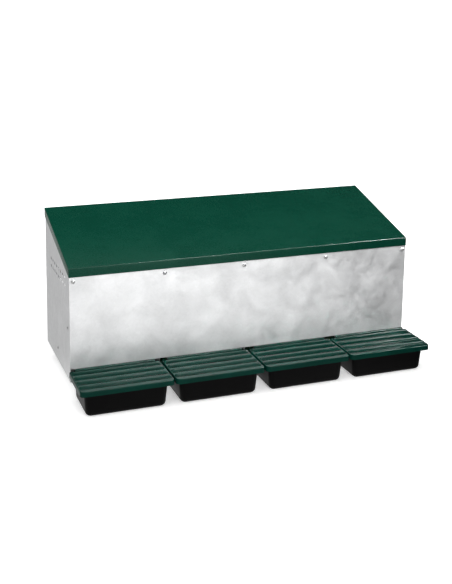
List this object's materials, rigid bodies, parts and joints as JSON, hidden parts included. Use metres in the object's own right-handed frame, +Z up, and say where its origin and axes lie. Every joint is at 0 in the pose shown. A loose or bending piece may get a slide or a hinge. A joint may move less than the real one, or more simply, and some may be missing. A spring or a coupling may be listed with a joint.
{
  "type": "nesting box",
  "caption": "Galvanised roll-away nesting box with a sloping green hinged roof, arched hen entrances, a folding perch, and black egg trays with ribbed green lids.",
  "frame": {"origin": "middle of the whole box, on the ground it stands on", "axes": "+Z up; X along the row of nests; -Y towards the egg trays, +Y towards the hens' side"},
  "size_m": [1.0158, 0.494, 0.4475],
  "materials": {
    "galvanised_sheet": "hot-dip galvanised sheet, soft spangle, satin",
    "green_paint": "dark green polyester-coated sheet, satin",
    "green_plastic": "moulded dark green plastic, half gloss",
    "black_plastic": "moulded black plastic, satin",
    "mat_plastic": "soft green plastic turf",
    "zinc_plated_steel": "zinc-plated steel",
    "beech_wood": "planed beech, oiled"
  },
  "bodies": {
    "nest_body": {"left_side_panel": "galvanised_sheet", "right_side_panel": "galvanised_sheet", "front_panel": "galvanised_sheet", "front_sill": "galvanised_sheet", "nest_floor": "galvanised_sheet", "entrance_panel": "galvanised_sheet", "divider_1": "galvanised_sheet", "divider_2": "galvanised_sheet", "divider_3": "galvanised_sheet", "roof_hinge_body_leaf_left": "zinc_plated_steel", "roof_hinge_pin_left": "zinc_plated_steel", "roof_hinge_body_leaf_right": "zinc_plated_steel", "roof_hinge_pin_right": "zinc_plated_steel", "nest_mat_1": "mat_plastic", "nest_mat_2": "mat_plastic", "nest_mat_3": "mat_plastic", "nest_mat_4": "mat_plastic", "front_screw_1": "zinc_plated_steel", "rear_screw_1": "zinc_plated_steel", "front_screw_2": "zinc_plated_steel", "rear_screw_2": "zinc_plated_steel", "front_screw_3": "zinc_plated_steel", "rear_screw_3": "zinc_plated_steel", "front_screw_4": "zinc_plated_steel", "rear_screw_4": "zinc_plated_steel", "front_screw_5": "zinc_plated_steel", "rear_screw_5": "zinc_plated_steel", "tab_rivet_left": "zinc_plated_steel", "tab_rivet_right": "zinc_plated_steel", "floor_rivet_left": "zinc_plated_steel", "floor_rivet_right": "zinc_plated_steel", "perch_bracket_left": "zinc_plated_steel", "perch_pivot_bolt_left": "zinc_plated_steel", "perch_bracket_middle": "zinc_plated_steel", "perch_pivot_bolt_middle": "zinc_plated_steel", "perch_bracket_right": "zinc_plated_steel", "perch_pivot_bolt_right": "zinc_plated_steel"},
    "roof": {"roof_panel": "green_paint", "roof_hinge_roof_leaf_left": "zinc_plated_steel", "roof_hinge_roof_leaf_right": "zinc_plated_steel"},
    "perch": {"perch_arm_left": "zinc_plated_steel", "perch_arm_middle": "zinc_plated_steel", "perch_arm_right": "zinc_plated_steel", "perch_rod": "beech_wood"},
    "tray_1": {"egg_tray_1": "black_plastic"},
    "lid_1": {"tray_lid_1": "green_plastic"},
    "tray_2": {"egg_tray_2": "black_plastic"},
    "lid_2": {"tray_lid_2": "green_plastic"},
    "tray_3": {"egg_tray_3": "black_plastic"},
    "lid_3": {"tray_lid_3": "green_plastic"},
    "tray_4": {"egg_tray_4": "black_plastic"},
    "lid_4": {"tray_lid_4": "green_plastic"}
  },
  "joints": [
    {"name": "roof_hinge", "type": "hinge", "parent": "nest_body", "child": "roof", "pos_m": [-0.0034, 0.2193, 0.44209], "axis": [-1, 0, 0], "range_deg": [0, 110]},
    {"name": "perch_fold", "type": "hinge", "parent": "nest_body", "child": "perch", "pos_m": [-0.0034, 0.232, 0.098], "axis": [-1, 0, 0], "range_deg": [0, 90]},
    {"name": "tray_1_slide", "type": "slide", "parent": "nest_body", "child": "tray_1", "axis": [0, -1, 0], "range_m": [0, 0.15]},
    {"name": "lid_1_hinge", "type": "hinge", "parent": "tray_1", "child": "lid_1", "pos_m": [-0.3825, -0.111, 0.0803], "axis": [-1, 0, 0], "range_deg": [0, 90]},
    {"name": "tray_2_slide", "type": "slide", "parent": "nest_body", "child": "tray_2", "axis": [0, -1, 0], "range_m": [0, 0.15]},
    {"name": "lid_2_hinge", "type": "hinge", "parent": "tray_2", "child": "lid_2", "pos_m": [-0.1275, -0.111, 0.0803], "axis": [-1, 0, 0], "range_deg": [0, 90]},
    {"name": "tray_3_slide", "type": "slide", "parent": "nest_body", "child": "tray_3", "axis": [0, -1, 0], "range_m": [0, 0.15]},
    {"name": "lid_3_hinge", "type": "hinge", "parent": "tray_3", "child": "lid_3", "pos_m": [0.1275, -0.111, 0.0803], "axis": [-1, 0, 0], "range_deg": [0, 90]},
    {"name": "tray_4_slide", "type": "slide", "parent": "nest_body", "child": "tray_4", "axis": [0, -1, 0], "range_m": [0, 0.15]},
    {"name": "lid_4_hinge", "type": "hinge", "parent": "tray_4", "child": "lid_4", "pos_m": [0.3825, -0.111, 0.0803], "axis": [-1, 0, 0], "range_deg": [0, 90]}
  ]
}
